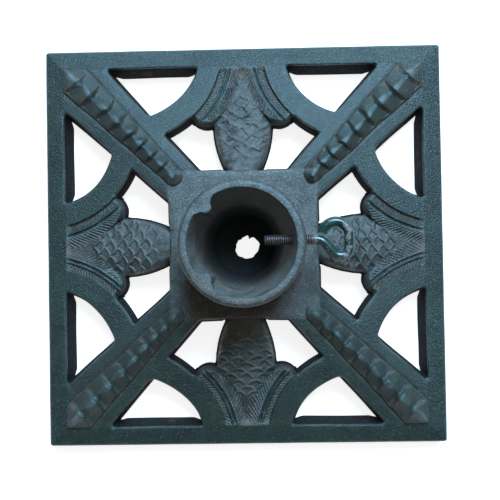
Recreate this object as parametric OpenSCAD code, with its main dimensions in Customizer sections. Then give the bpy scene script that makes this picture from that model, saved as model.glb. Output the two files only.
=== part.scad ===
// Cast-iron flag pole stand: a square openwork base with a tapered pole socket and a clamping eye screw.
// The base is one casting, drawn here as its sections, which meet face to face.
// Origin: centre of the base on the floor. +X points along the eye screw, away from the socket.

/* [Base] */
// Side of the square base
base_w = 254; // [244:1:264]
// Width of each edge rail
rail_w = 12.4; // [11:0.2:14]
// Height of the outer edge above the floor
edge_h = 14; // [13:0.5:16]
// Height of the flat hub above the floor
hub_h = 31; // [28:0.5:34]
// Side of the flat hub
hub_w = 92.6; // [90:0.2:96]
// Thickness of the hub plate
hub_t = 9; // [7:0.5:11]
// Depth of spokes, arches and ornaments below the sloping top
web_t = 12.5; // [9:0.5:13]

/* [Spokes] */
// Width of a spoke where it leaves the hub
spoke_in_w = 25.6; // [24:0.2:27]
// Width of a spoke at the inner corner of the rails
spoke_out_w = 41; // [39:0.5:43]
// Thickness of a spoke's top skin over the hollow below it
spoke_skin = 6; // [5:0.5:8]
// Thickness of a spoke's side walls
spoke_wall = 5; // [4:0.5:6]

/* [Bead ridges] */
// Number of knuckles in a ridge
knuckles = 9; // [7:1:11]
// Distance of a ridge's round end from the axis
ridge_start = 60.5; // [58:0.5:64]
// Width of the innermost knuckle
ridge_in_w = 11; // [10:0.5:13]
// Width of the outermost knuckle
ridge_out_w = 22; // [20:0.5:24]
// Height of the innermost knuckle
ridge_in_h = 3.6; // [3:0.2:5]
// Height of the outermost knuckle
ridge_out_h = 5.4; // [4:0.2:6]

/* [Arches] */
// Distance of an arch opening's centre from the middle of its side
opening_x = 72; // [70:0.2:74]
// Distance of that centre inside the base's edge
opening_inset = 1; // [0:0.2:2]
// Radius of an arch opening
opening_r = 45; // [43:0.5:46]
// Distance of an arch's leaf-side centre from the middle of its side
leaf_side_x = 76.5; // [75.5:0.5:77.5]
// Radius of an arch on its leaf side
leaf_side_r = 63.3; // [62:0.1:64]

/* [Cone and leaves] */
// Half width of the cone at its widest
cone_half_w = 18.4; // [17:0.2:19]
// Distance of the cone's widest place from the axis
cone_mid = 78; // [76:0.5:80]
// Radius of the cone's curved sides
cone_side_r = 70.7; // [68:0.5:74]
// Radius of the cone's crowned top
cone_crown_r = 34; // [30:1:40]
// Depth of the cone's crest below the arches
cone_sink = 1; // [0.5:0.1:2]
// Depth of the leaves below the arches
leaf_sink = 2.4; // [1.5:0.1:3]
// Depth of the leaf ribs below the arches
vein_sink = 0.8; // [0.5:0.1:1.4]
// Width of one leaf rib
vein_w = 1.9; // [1.4:0.1:2.2]
// Radius of the line midway between a leaf's two ribs
vein_r = 70.3; // [69.5:0.1:71]
// Radius of a leaf's round tip
leaf_tip_r = 10.5; // [9.5:0.1:11]
// Distance of a leaf tip's centre from the middle of its side
leaf_tip_x = 22.5; // [22:0.1:23]

/* [Socket] */
// Height of the socket's rim above the floor
rim_h = 77; // [73:0.5:80]
// Outer radius of the rim
rim_r = 36.6; // [35.6:0.1:36.8]
// Inner radius of the rim
mouth_r = 31; // [30:0.1:31.6]
// Radius of the socket where it passes through the hub plate
seat_r = 37.6; // [37.2:0.1:38.6]
// Inner radius at the top of the socket's round floor corner
well_r = 20; // [19:0.5:22]
// Outer radius of the socket's foot
foot_r = 25; // [24:0.5:26]
// Thickness of the socket's floor
floor_t = 5; // [4:0.5:6]
// Radius of the corner between the socket's wall and floor
well_corner_r = 6; // [4:0.5:7]
// Diameter of the hole in the floor
drain_d = 15.9; // [14:0.1:18]
// Distance of the pole ribs' noses from the axis
nose_at = 25; // [24:0.5:26.5]
// Radius of a pole rib's nose
nose_r = 3.4; // [3:0.1:4]
// Width of a pole rib where it meets the rim
rib_root_w = 16; // [14:0.5:18]

/* [Eye screw] */
// Thread diameter
thread_d = 6.35; // [6:0.05:6.4]
// Thread pitch
pitch = 1.27; // [1:0.01:1.5]
// Depth of the thread groove
thread_depth = 0.7; // [0.4:0.1:0.8]
// Radial clearance of the thread in its hole
thread_gap = 0.06; // [0.02:0.01:0.1]
// Distance of the screw's tip from the socket's axis
tip_x = 12.5; // [10:0.5:16]
// Length of the thread
thread_len = 28.5; // [27:0.5:30]
// Height of the screw's axis above the floor
screw_z = 63; // [60:0.5:66]
// Offset of the screw's axis from the middle of the socket
screw_y = 1.5; // [0:0.1:2]
// Diameter of the bare rod
rod_d = 6; // [5.2:0.1:6.3]

/* [Hidden] */
$fn = 96;
// Small overlap that fuses neighbouring knuckles
fuse = 0.05;
// Space between a leaf's two ribs
vein_gap = 0.8;
half_w = base_w / 2;
rail_in = half_w - rail_w;
hub_half = hub_w / 2;
slope = (hub_h - edge_h) / (half_w - hub_half);
slope_deg = atan(slope);
hip_deg = atan(slope / sqrt(2));
corner_u = rail_in * sqrt(2);
hub_corner_u = hub_half * sqrt(2);
// Distance from the axis at which the spoke's edges leave the hub
spoke_in_u = 53;
spoke_taper = (spoke_out_w - spoke_in_w) / (corner_u - spoke_in_u);
// Rod path of the eye, seen from above and measured from the screw's axis
eye_big_c = [54, 2.4];
eye_big_r = 7.8;
eye_small_c = [56.8, -4.8];
eye_small_r = 5;
neck_r = 9;

GREEN = [0.17, 0.27, 0.26];
LIGHT_GREEN = [0.22, 0.33, 0.32];
DULL_GREEN = [0.24, 0.29, 0.27];
STEEL = [0.42, 0.35, 0.32];

// Turns a piece of the back side to side k: 0 back, 1 right, 2 front, 3 left
module side(k) { rotate([0, 0, -90 * k]) children(); }

// Mirrors a piece to the other half of its side
module other_half() { mirror([1, 0, 0]) children(); }

// The whole base filled solid: a hip roof with a flat top
module roof(drop = 0) {
    profile = [
        [-half_w, -drop], [half_w, -drop], [half_w, edge_h - drop],
        [hub_half, hub_h - drop], [-hub_half, hub_h - drop], [-half_w, edge_h - drop]
    ];
    intersection() {
        rotate([90, 0, 0]) linear_extrude(base_w, center = true) polygon(profile);
        rotate([90, 0, 90]) linear_extrude(base_w, center = true) polygon(profile);
    }
}

// A plan shape cut from the sloping web of the base
module web(drop = 0, depth = web_t) {
    intersection() {
        linear_extrude(hub_h + 1) children();
        difference() {
            roof(drop);
            roof(depth);
        }
    }
}

// Plan of the spoke towards the back right corner, from the axis outwards, drawn in by inset
module spoke_plan(inset = 0) {
    w0 = spoke_in_w - spoke_taper * spoke_in_u - 2 * inset;
    w1 = spoke_out_w - 2 * inset;
    rotate(45) polygon([[0, -w0 / 2], [corner_u, -w1 / 2], [corner_u, w1 / 2], [0, w0 / 2]]);
}

// Plan of everything inside the rails
module inside_rails() { square(2 * rail_in, center = true); }

// Plan of the right half of the back side, inside the rail
module half_side_plan() { polygon([[0, hub_half], [hub_half, hub_half], [rail_in, rail_in], [0, rail_in]]); }

module leaf_side_plan() { translate([leaf_side_x, half_w]) circle(leaf_side_r); }

module arch_plan() {
    difference() {
        intersection() {
            half_side_plan();
            leaf_side_plan();
        }
        translate([opening_x, half_w - opening_inset]) circle(opening_r);
        spoke_plan();
    }
}

module cone_outline() {
    intersection() {
        translate([cone_half_w - cone_side_r, cone_mid]) circle(cone_side_r);
        translate([cone_side_r - cone_half_w, cone_mid]) circle(cone_side_r);
        polygon([
            [-cone_half_w, hub_half], [cone_half_w, hub_half], [cone_half_w, cone_mid],
            [0, cone_mid + cone_half_w], [-cone_half_w, cone_mid]
        ]);
    }
}

module leaf_plan() {
    tip = [leaf_tip_x, cone_mid + 8];
    difference() {
        intersection() {
            half_side_plan();
            union() {
                translate(tip) circle(leaf_tip_r);
                translate([0, tip[1]]) square([rail_in, rail_in - tip[1]]);
            }
        }
        leaf_side_plan();
        cone_outline();
    }
}

// The two thin ribs along a leaf
module vein_plan() {
    for (r = [vein_r - vein_gap / 2 - vein_w, vein_r + vein_gap / 2]) translate([leaf_side_x, half_w]) difference() {
        circle(r + vein_w);
        circle(r);
    }
}

module rail() {
    color(GREEN) intersection() {
        linear_extrude(hub_h)
            polygon([[-half_w, half_w], [half_w, half_w], [rail_in, rail_in], [-rail_in, rail_in]]);
        roof();
    }
}

module spoke() {
    color(GREEN) difference() {
        web() difference() {
            intersection() {
                spoke_plan();
                inside_rails();
            }
            square(hub_w, center = true);
        }
        intersection() {
            translate([0, 0, -1]) linear_extrude(hub_h) spoke_plan(inset = spoke_wall);
            roof(spoke_skin);
        }
    }
}

// One knuckle of a ridge: a bevelled bar from x = 0 to x = len, bevelled at both ends too
module knuckle(len, w, h) {
    crest = w * 0.16;
    shoulder = h * 0.25;
    notch = h * 0.55;
    intersection() {
        rotate([90, 0, 90]) linear_extrude(len) polygon([
            [-w / 2, -h], [w / 2, -h], [w / 2, shoulder], [crest, h], [-crest, h], [-w / 2, shoulder]
        ]);
        translate([0, w, 0]) rotate([90, 0, 0]) linear_extrude(2 * w)
            polygon([[0, -h], [len, -h], [len, notch], [len * 0.75, h], [len * 0.25, h], [0, notch]]);
    }
}

// A row of knuckles that grow outwards along the hip, ending in a round knob towards the socket
module bead_ridge() {
    step = (corner_u - ridge_start) / knuckles;
    growth = 0.45;
    function start(i) = ridge_start + step * (i + growth * i * (i / knuckles - 1) / 2);
    function blend(a, b, i) = a + (b - a) * i / (knuckles - 1);
    color(LIGHT_GREEN) difference() {
        intersection() {
            rotate([0, 0, 45]) translate([hub_corner_u, 0, hub_h]) rotate([0, hip_deg, 0]) {
                for (i = [0 : knuckles - 1]) translate([start(i) - hub_corner_u, 0, 0])
                    knuckle(start(i + 1) - start(i) + fuse,
                            blend(ridge_in_w, ridge_out_w, i), blend(ridge_in_h, ridge_out_h, i));
                translate([ridge_start - hub_corner_u, 0, -ridge_in_h])
                    cylinder(h = 2 * ridge_in_h - 1, d = ridge_in_w);
            }
            linear_extrude(rim_h) inside_rails();
        }
        roof();
    }
}

module arch() { color(GREEN) web() arch_plan(); }

module cone() {
    color(LIGHT_GREEN) intersection() {
        web() cone_outline();
        translate([0, hub_half, hub_h - cone_sink]) rotate([-slope_deg, 0, 0])
            translate([0, -rail_w, -cone_crown_r]) rotate([-90, 0, 0]) cylinder(h = rail_in, r = cone_crown_r);
    }
}

module husk_leaf() {
    color(DULL_GREEN) {
        web(drop = leaf_sink) leaf_plan();
        web(drop = vein_sink, depth = leaf_sink) intersection() {
            leaf_plan();
            vein_plan();
        }
    }
}

module hub_plate() {
    color(DULL_GREEN) translate([0, 0, hub_h - hub_t]) difference() {
        translate([-hub_half, -hub_half, 0]) cube([hub_w, hub_w, hub_t]);
        translate([0, 0, -1]) cylinder(h = hub_t + 2, r = seat_r);
    }
}

// Half section of the space inside the socket
module well_section() {
    union() {
        polygon([
            [0, floor_t], [well_r - well_corner_r, floor_t], [well_r - well_corner_r, floor_t + well_corner_r],
            [well_r, floor_t + well_corner_r], [mouth_r, rim_h], [0, rim_h]
        ]);
        intersection() {
            translate([well_r - well_corner_r, floor_t + well_corner_r]) circle(well_corner_r);
            square([well_r, floor_t + well_corner_r]);
        }
    }
}

module socket_cup() {
    edge = 0.8;
    fillet = 1.4;
    color(GREEN) difference() {
        rotate_extrude() difference() {
            polygon([
                [0, 0], [foot_r - 1, 0], [foot_r, 1], [seat_r, hub_h - hub_t - 2], [seat_r, hub_h],
                [rim_r + edge, hub_h + fillet], [rim_r, rim_h - edge], [rim_r - edge, rim_h], [0, rim_h]
            ]);
            well_section();
            square([drain_d / 2, floor_t + 1]);
        }
        translate([mouth_r - rail_w, screw_y, screw_z]) rotate([0, 90, 0])
            cylinder(h = 2 * rail_w, d = thread_d + 2 * thread_gap);
    }
}

// A rib inside the socket, upright, that fades into the tapering wall
module pole_rib(angle) {
    color(GREEN) intersection() {
        rotate([0, 0, angle]) translate([0, 0, floor_t + well_corner_r]) linear_extrude(rim_h - floor_t - well_corner_r)
            union() {
                translate([nose_at + nose_r, 0]) circle(nose_r);
                polygon([
                    [nose_at + nose_r, -nose_r], [rim_r, -rib_root_w / 2],
                    [rim_r, rib_root_w / 2], [nose_at + nose_r, nose_r]
                ]);
            }
        rotate_extrude() well_section();
    }
}

// The threaded rod, its thread drawn as rings
module screw_thread() {
    root_r = thread_d / 2 - thread_depth;
    turns = floor(thread_len / pitch);
    color(STEEL) translate([tip_x, screw_y, screw_z]) rotate([0, 90, 0]) rotate_extrude() polygon([
        [0, 0], [root_r, 0],
        for (i = [0 : turns - 1]) each [
            [root_r, (i + 0.1) * pitch], [thread_d / 2, (i + 0.45) * pitch],
            [thread_d / 2, (i + 0.6) * pitch], [root_r, (i + 0.95) * pitch]
        ],
        [root_r, thread_len], [0, thread_len]
    ]);
}

// Points along a bend about c, from angle a0 to a1
function bend(c, r, a0, a1, steps) =
    [for (i = [0 : steps]) let (a = a0 + (a1 - a0) * i / steps) c + r * [cos(a), sin(a)]];

// Round rod swept along a flat path; its first and last rings are square to the path's ends
module rod(path, d, sides = 20) {
    last = len(path) - 1;
    function heading(i) = path[min(i + 1, last)] - path[max(i - 1, 0)];
    function across(i) = [-heading(i)[1], heading(i)[0]] / norm(heading(i));
    points = [for (i = [0 : last], k = [0 : sides - 1])
        let (a = 360 * k / sides, p = path[i] + across(i) * cos(a) * d / 2) [p[0], p[1], sin(a) * d / 2]];
    walls = [for (i = [0 : last - 1], k = [0 : sides - 1])
        let (a = i * sides + k, b = i * sides + (k + 1) % sides) each [[a, a + sides, b], [b, a + sides, b + sides]]];
    caps = [[for (k = [0 : sides - 1]) k], [for (k = [sides - 1 : -1 : 0]) last * sides + k]];
    polyhedron(points, concat(walls, caps));
}

// The eye, bent from the rod's plain end: a neck, a tight bend, then the big round of the eye
module screw_eye() {
    neck_x = tip_x + thread_len;
    run_deg = 52;
    end_deg = 172;
    path = concat(
        [[neck_x, 0], [neck_x + 0.5, 0]],
        bend([neck_x + 1, -neck_r], neck_r, 90, 90 - run_deg, 5),
        bend(eye_small_c, eye_small_r, -90 - run_deg, 0, 12),
        bend(eye_big_c, eye_big_r, 0, end_deg, 18)
    );
    color(GREEN) translate([0, screw_y, screw_z]) rod(path, rod_d);
}

side(0) rail();  // rail_back
side(1) rail();  // rail_right
side(2) rail();  // rail_front
side(3) rail();  // rail_left
side(0) spoke();  // spoke_back_right
side(1) spoke();  // spoke_right_front
side(2) spoke();  // spoke_front_left
side(3) spoke();  // spoke_left_back
side(0) bead_ridge();  // bead_ridge_back_right
side(1) bead_ridge();  // bead_ridge_right_front
side(2) bead_ridge();  // bead_ridge_front_left
side(3) bead_ridge();  // bead_ridge_left_back
side(0) arch();  // arch_back_right
side(0) other_half() arch();  // arch_back_left
side(1) arch();  // arch_right_front
side(1) other_half() arch();  // arch_right_back
side(2) arch();  // arch_front_left
side(2) other_half() arch();  // arch_front_right
side(3) arch();  // arch_left_back
side(3) other_half() arch();  // arch_left_front
side(0) cone();  // cone_back
side(1) cone();  // cone_right
side(2) cone();  // cone_front
side(3) cone();  // cone_left
side(0) husk_leaf();  // leaf_back_right
side(0) other_half() husk_leaf();  // leaf_back_left
side(1) husk_leaf();  // leaf_right_front
side(1) other_half() husk_leaf();  // leaf_right_back
side(2) husk_leaf();  // leaf_front_left
side(2) other_half() husk_leaf();  // leaf_front_right
side(3) husk_leaf();  // leaf_left_back
side(3) other_half() husk_leaf();  // leaf_left_front
hub_plate();
socket_cup();
pole_rib(135);  // pole_rib_back
pole_rib(225);  // pole_rib_front
screw_thread();
screw_eye();
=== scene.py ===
"""Looks of the flag pole stand: an iron casting, built section by section, and its painted eye screw.

All shapes are worked out in millimetres. The casting is a height field over one eighth of its plan, repeated
eight times: the octant between the middle of the back side (x = 0) and the back right corner (x = y).
"""

import bmesh
import bpy
import numpy as np
from mathutils import Euler, Matrix, Vector
from mathutils.geometry import delaunay_2d_cdt


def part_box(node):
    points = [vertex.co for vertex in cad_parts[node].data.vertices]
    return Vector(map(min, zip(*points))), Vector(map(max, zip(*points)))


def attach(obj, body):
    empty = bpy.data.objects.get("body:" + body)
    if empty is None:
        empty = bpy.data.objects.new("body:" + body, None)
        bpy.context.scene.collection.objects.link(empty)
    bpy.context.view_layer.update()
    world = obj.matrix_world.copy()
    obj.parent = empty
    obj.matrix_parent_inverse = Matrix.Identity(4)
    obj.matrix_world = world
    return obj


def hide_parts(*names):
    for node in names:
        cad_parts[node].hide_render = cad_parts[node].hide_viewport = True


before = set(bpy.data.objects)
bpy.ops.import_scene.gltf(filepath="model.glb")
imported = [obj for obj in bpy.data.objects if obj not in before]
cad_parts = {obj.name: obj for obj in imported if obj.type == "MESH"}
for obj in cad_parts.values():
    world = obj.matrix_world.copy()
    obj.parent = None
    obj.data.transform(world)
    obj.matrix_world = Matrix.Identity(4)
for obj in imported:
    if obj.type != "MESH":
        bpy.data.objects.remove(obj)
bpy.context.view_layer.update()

MM = 0.001
ROOT2 = 2 ** 0.5
SIDES = ("back", "right", "front", "left")


def span(node):
    """Lowest and highest corner of a CAD node in millimetres."""
    low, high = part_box(node)
    return np.array(low) / MM, np.array(high) / MM


# ---------------------------------------------------------------- sizes from the frame
RAIL_LOW, RAIL_HIGH = span("rail_back")
HUB_LOW, HUB_HIGH = span("hub_plate")
THREAD_LOW, THREAD_HIGH = span("screw_thread")
ARCH_LOW = span("arch_back_right")[0]
CUP_HIGH = span("socket_cup")[1]

HALF = RAIL_HIGH[1]         # half of the base's width
RAIL_IN = RAIL_LOW[1]       # distance of the rails' inner edges from the middle
CORNER_U = RAIL_IN * ROOT2  # and of their inner corners
HUB_HALF = HUB_HIGH[0]      # half of the hub plate's width
HUB_Z = HUB_HIGH[2]
SLOPE = (HUB_Z - RAIL_HIGH[2]) / (RAIL_IN - HUB_HALF)
EDGE_Z = RAIL_HIGH[2] - SLOPE * (HALF - RAIL_IN)
WEB = RAIL_HIGH[2] - ARCH_LOW[2]  # thickness of the iron under the roof
SEAT_R = CUP_HIGH[0]        # radius of the socket where it stands on the hub plate
RIM_Z = CUP_HIGH[2]
SCREW_AXIS = (THREAD_LOW + THREAD_HIGH) / 2
THREAD_R = (THREAD_HIGH[1] - THREAD_LOW[1]) / 2

# ---------------------------------------------------------------- sizes of the casting's details
SPOKE_U = 53         # where the spokes begin, along the diagonal
SPOKE_IN_W = 25.6    # their width there
SPOKE_OUT_W = 41     # and at the rails' inner corner
SPOKE_TAPER = (SPOKE_OUT_W - SPOKE_IN_W) / (CORNER_U - SPOKE_U)
SPOKE_WALL = 5       # wall on each side of the channel under a spoke
SPOKE_SKIN = 6       # iron over that channel
CHANNEL_LEAN = 1.2   # width of the channel's sloping side
HUB_STEP = 5         # width of the slope from the web to the hub plate's underside

OPENING_X, OPENING_Y, OPENING_R = 72, HALF - 1, 45   # the arc between an arch and its outer opening
LEAF_X, LEAF_R = 76.5, 63.3                          # the arc between an arch and its leaf
CONE_HALF_W, CONE_MID, CONE_SIDE_R = 18.4, 78, 70.7  # half width, where it is reached, and the sides' arc
CONE_CROWN_R = 34                                    # radius of the cone's crown, across it
TIP_X, TIP_Y, TIP_R = 22.5, 86, 10.5                 # the leaf's curled tip
LEAF_SINK, CONE_SINK = 1.7, 1.0                      # how far the ornament lies below the roof
RAIL_FILLET = 1.5    # plan roundings of the openings' corners, by their neighbour
ARCH_FILLET = 1.5
SPOKE_FILLET = 2.6
LEAF_FILLET = 1.8
CONE_FILLET = 0.8
HUB_FILLET = 1.2
CONE_POINT_R = 3.0   # and of the cone's pointed end under the leaves

EDGE_R = 1.5         # rounding of the casting's upper edges
OUTER_DRAFT = 0.15   # lean of the outer faces
INNER_DRAFT = 0.16   # lean of the openings' walls, as a tangent
CORNER_R = 1.8       # plan rounding of the base's corners
CREASE = 1.5         # softness of the roof's hips
HUB_CREASE = 1.2     # and of the edge of its flat top

OUTER_CENTRE = (58, 103)             # a point inside each opening
KITE_CENTRE = (27, 60)
STEP = 0.9                           # spacing of the mesh along outlines
RINGS = (0.08, 0.3, 0.6, 1.0, 1.6)   # its rows beside an edge
INSETS = (0.35, 0.75)                # and beside an inner border
FINE, COARSE = 0.48, 2.6             # its pitch on ornament and elsewhere
HEXAGON_ROW = 0.866                  # spacing of a hexagonal grid's rows, as a share of its pitch
BISECTIONS = 24

# Labels of the casting's sections within the octant
RAIL, SPOKE, HUB, CONE, LEAF, ARCH = range(6)
ON_LINE = 0.02  # how near to a border a point counts as on it


# ---------------------------------------------------------------- small maths
def smooth(low, high, value):
    """0 up to low and 1 from high, with a smooth change between them."""
    t = np.clip((value - low) / (high - low), 0, 1)
    return t * t * (3 - 2 * t)


def bump(value, half_width):
    """A cosine bump of height 1 about zero."""
    return np.where(np.abs(value) < half_width, 0.5 + 0.5 * np.cos(np.pi * value / half_width), 0)


def round_and(a, b, r):
    """Signed distance inside both a and b, with their corner rounded."""
    return np.maximum(r, np.minimum(a, b)) - np.hypot(np.maximum(r - a, 0), np.maximum(r - b, 0))


def around(count):
    """Evenly spaced directions of a full turn."""
    return np.linspace(0, 2 * np.pi, count, endpoint=False)


def angle_from(centre, angle):
    """The turn from centre to angle, between minus and plus half a turn."""
    return (angle - centre + np.pi) % (2 * np.pi) - np.pi


def waves(seed, length, count=14):
    """A smooth random field of the plan, about -1 to 1, with the given wavelength."""
    rng = np.random.default_rng(seed)
    angle = rng.uniform(0, 2 * np.pi, count)
    k = 2 * np.pi / length * rng.uniform(0.5, 1.6, count)
    phase = rng.uniform(0, 2 * np.pi, count)

    def field(x, y):
        total = 0
        for a, f, p in zip(angle, k, phase):
            total = total + np.sin(f * (x * np.cos(a) + y * np.sin(a)) + p)
        return total / (count / 2) ** 0.5 * 0.6

    return field


SWAY_X, SWAY_Y, SWELL, RIPPLE = waves(1, 60), waves(2, 60), waves(3, 45), waves(4, 9)
WANDER_X, WANDER_Y, LUMPS = waves(5, 16), waves(6, 16), waves(7, 7)


# ---------------------------------------------------------------- plan fields of the octant, positive inside
def diagonal(x, y):
    """Distance along the octant's diagonal from the middle, and distance across from it."""
    return (x + y) / ROOT2, np.abs(y - x) / ROOT2


def spoke_in(x, y):
    u, v = diagonal(x, y)
    return (SPOKE_IN_W + SPOKE_TAPER * (u - SPOKE_U)) / 2 - v


def leaf_side(x, y):
    """Distance into the leaf from the arch beside it."""
    return np.hypot(x - LEAF_X, y - HALF) - LEAF_R


def leaf_body(x, y):
    return np.maximum(TIP_R - np.hypot(x - TIP_X, y - TIP_Y), y - TIP_Y)


def cone_in(x, y):
    x = np.abs(x)
    point = (CONE_HALF_W - x - (y - CONE_MID)) / ROOT2
    return round_and(cone_flank(x, y), point, CONE_POINT_R)


def cone_flank(x, y):
    """Distance into the cone from its curved sides alone."""
    return CONE_SIDE_R - np.hypot(np.abs(x) + CONE_SIDE_R - CONE_HALF_W, y - CONE_MID)


def outer_opening(x, y):
    arc = OPENING_R - np.hypot(x - OPENING_X, y - OPENING_Y)
    return round_and(round_and(arc, RAIL_IN - y, RAIL_FILLET), -spoke_in(x, y), SPOKE_FILLET)


def kite_opening(x, y):
    field = round_and(leaf_side(x, y), -spoke_in(x, y), ARCH_FILLET)
    field = round_and(field, -leaf_body(x, y), LEAF_FILLET)
    field = round_and(field, -cone_flank(x, y), CONE_FILLET)
    return round_and(field, y - HUB_HALF, HUB_FILLET)


OPENINGS = ((outer_opening, OUTER_CENTRE), (kite_opening, KITE_CENTRE))


def edge_depth(x, y):
    """Distance into the casting from its nearest upper edge."""
    depth = np.minimum(-outer_opening(x, y), -kite_opening(x, y))
    top = HALF - OUTER_DRAFT
    corner = CORNER_R - np.hypot(np.maximum(x - top + CORNER_R, 0), np.maximum(y - top + CORNER_R, 0))
    outer = np.where(np.minimum(x, y) > top - CORNER_R, corner, top - np.maximum(x, y))
    return np.minimum(depth, outer)


def section_of(x, y):
    """Label of the section that each point belongs to."""
    depths = np.full((6, len(x)), -np.inf)
    depths[SPOKE] = spoke_in(x, y)
    depths[CONE] = cone_in(x, y)
    depths[LEAF] = np.minimum(leaf_body(x, y), leaf_side(x, y))
    depths[ARCH] = np.minimum(-leaf_side(x, y), np.hypot(x - OPENING_X, y - OPENING_Y) - OPENING_R)
    label = depths.argmax(axis=0)
    label[depths[CONE] > 0] = CONE
    label[depths[SPOKE] > 0] = SPOKE
    label[y < HUB_HALF] = HUB
    label[(y < HUB_HALF + ON_LINE) & (depths[CONE] < 0)] = HUB
    label[y > RAIL_IN] = RAIL
    return label


# ---------------------------------------------------------------- bead ridges
RIDGE_START = 60.5         # centre of the ridge's round inner end, along the diagonal
RIDGE_IN_W, RIDGE_OUT_W = 11, 22
RIDGE_IN_H, RIDGE_OUT_H = 5.22, 7.83
RIDGE_FOOT = 0.12          # share of the height that its foot steps up at once
RIDGE_GROOVE = 0.45        # depth of the line around its foot
KNUCKLES, KNUCKLE_GROWTH = 9, 0.6
NOSE_U = CORNER_U - 15.5   # where the last, pointed knuckle begins
PAST_CORNER = 8            # how far that knuckle would run on if the rails did not cut it off
END_FOOT, END_RISE = 0.15, 0.55  # the pointed end's foot, as a share of the height, and its slope
LAG_IN, LAG_GROWTH = 0.8, 1.8    # how far the knuckles' borders curve outwards at the ridge's sides
NOSE_SHARE = 0.2           # share of a knuckle's length that its steep nose takes
KNUCKLE_DIP = 0.44         # how much lower its tail is than its nose
KNUCKLE_PINCH = 0.28       # and how much narrower
FLAT_TAIL, FLAT_NOSE = 0.04, 0.17  # width of the flat crest, as a share of the ridge's
KNUCKLE_STEP = (NOSE_U - RIDGE_START) / (KNUCKLES - 1)


def knuckle_start(i):
    return RIDGE_START + KNUCKLE_STEP * (i + KNUCKLE_GROWTH * i * (i / (KNUCKLES - 1) - 1) / 2)


KNUCKLE_STARTS = np.append(knuckle_start(np.arange(KNUCKLES)), CORNER_U + PAST_CORNER)


def share_of_ridge(u):
    return np.clip((u - RIDGE_START) / (CORNER_U - RIDGE_START), 0, 1)


def ridge_half_width(u):
    return (RIDGE_IN_W + (RIDGE_OUT_W - RIDGE_IN_W) * share_of_ridge(u)) / 2


def ridge_in(x, y):
    """Distance into the ridge from its outline."""
    u, v = diagonal(x, y)
    side = ridge_half_width(u) - v
    knob = RIDGE_IN_W / 2 - np.hypot(u - RIDGE_START, v)
    return np.where(u < RIDGE_START, knob, np.minimum(side, RAIL_IN - np.maximum(x, y)))


def ridge_height(x, y):
    """Height of a ridge over the spoke, and how worn and dusty it is there."""
    u, v = diagonal(x, y)
    crest_h = RIDGE_IN_H + (RIDGE_OUT_H - RIDGE_IN_H) * share_of_ridge(u)
    across = np.where(u < RIDGE_START, np.hypot(u - RIDGE_START, v), v) / ridge_half_width(u)
    lagging = u - (LAG_IN + LAG_GROWTH * share_of_ridge(u)) * across ** 1.5
    i = np.clip(np.searchsorted(KNUCKLE_STARTS, lagging, side="right") - 1, 0, KNUCKLES - 1)
    share = (lagging - KNUCKLE_STARTS[i]) / (KNUCKLE_STARTS[i + 1] - KNUCKLE_STARTS[i])
    nose = np.where((i > 0) & (share >= 0), smooth(0, NOSE_SHARE, share), 1)
    swell = nose * (1 - smooth(0.25, 1.0, share))
    flat = FLAT_TAIL + (FLAT_NOSE - FLAT_TAIL) * (1 - smooth(0.1, 0.9, share))
    pinched = across * (1 + KNUCKLE_PINCH * (1 - np.sqrt(swell)))
    slope = np.clip((pinched - flat) / (1 - flat), 0, 1)
    facet = 1.04 - np.sqrt(slope ** 2 + 0.04 ** 2)
    height = crest_h * (RIDGE_FOOT + (1 - RIDGE_FOOT) * facet * (1 - KNUCKLE_DIP * (1 - swell)))
    to_rail = np.maximum(RAIL_IN - np.maximum(x, y), 0)
    height = np.minimum(height, END_FOOT * crest_h + END_RISE * to_rail)
    inside = ridge_in(x, y)
    height = height * smooth(0, 0.5, inside)
    wear = (1 - smooth(0.0, 0.12, across - flat)) * (0.3 + 0.7 * nose * (1 - smooth(0.3, 0.9, share)))
    dust = (1 - smooth(0.04, 0.16, share) + smooth(0.86, 0.98, share)) * smooth(0.25, 0.6, across)
    dust = np.maximum(dust, 1 - smooth(0.3, 1.1, inside))
    return height, np.clip(wear, 0, 1), dust


# ---------------------------------------------------------------- relief of cones and leaves
SCALE_ROWS = 13
SCALE_FIRST = 50.0    # distance of the first row from the middle
SCALE_PITCH = 3.8
SCALE_W0 = 13.0       # width of a scale in the first row
SCALE_SHRINK = 0.3    # and how much narrower each row is
SCALE_BOW = 4.0       # how far a scale's sides run out past the middle of its free edge
SCALE_RISE = 1.1
SCALES_END = 97.5
FLANK_R = 3.0         # rounding of the cone's sides
FOOT_FLANK_R = 5.0    # and of its sides at the hub

CRISPNESS = (0.6, 1.0, 1.3, 1.0)  # how sharp each side's relief is
SHARP = 1.2           # from this on the barbs run on to the leaf's middle
VEIN_AT, VEIN_GAP = 7.0, 0.8      # the pair of veins along a leaf, measured from the arch
VEIN_W, VEIN_H = 1.9, 1.6
BAND_FROM, BAND_TO = 9.4, 14.2    # the band of barbs beyond the veins
BAND_RISE, BAND_FALL = 1.1, 1.7
STRIP_TO = BAND_FROM - 5          # the end of the barbed strip on the veins' other side
BARB_PITCH = 2.3
BARB_LEAN = 0.95
BARB_MEAN = 0.6
BARB_H, STRIP_BARB_H = 0.85, 0.55
CURL_R = 3.6          # rounding of the leaf's tip
CURL_BEAD_AT, CURL_BEAD_H = 3.0, 0.3


def scale_relief(x, y):
    """Raised rims of overlapping scales, whose free edges are curved and face the hub."""
    rim = np.zeros(x.shape)
    for row in range(SCALE_ROWS):
        width = SCALE_W0 - SCALE_SHRINK * row
        shift = 0.5 * (row % 2)
        column = np.round(x / width - shift) + shift
        off = (x - column * width) / (width / 2)
        past = y - (SCALE_FIRST + SCALE_PITCH * row + SCALE_BOW * off ** 2)
        rim = np.maximum(rim, smooth(-1.0, 0.5, past) * (1 - smooth(0.4, 2.6, past)))
    return rim


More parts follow.
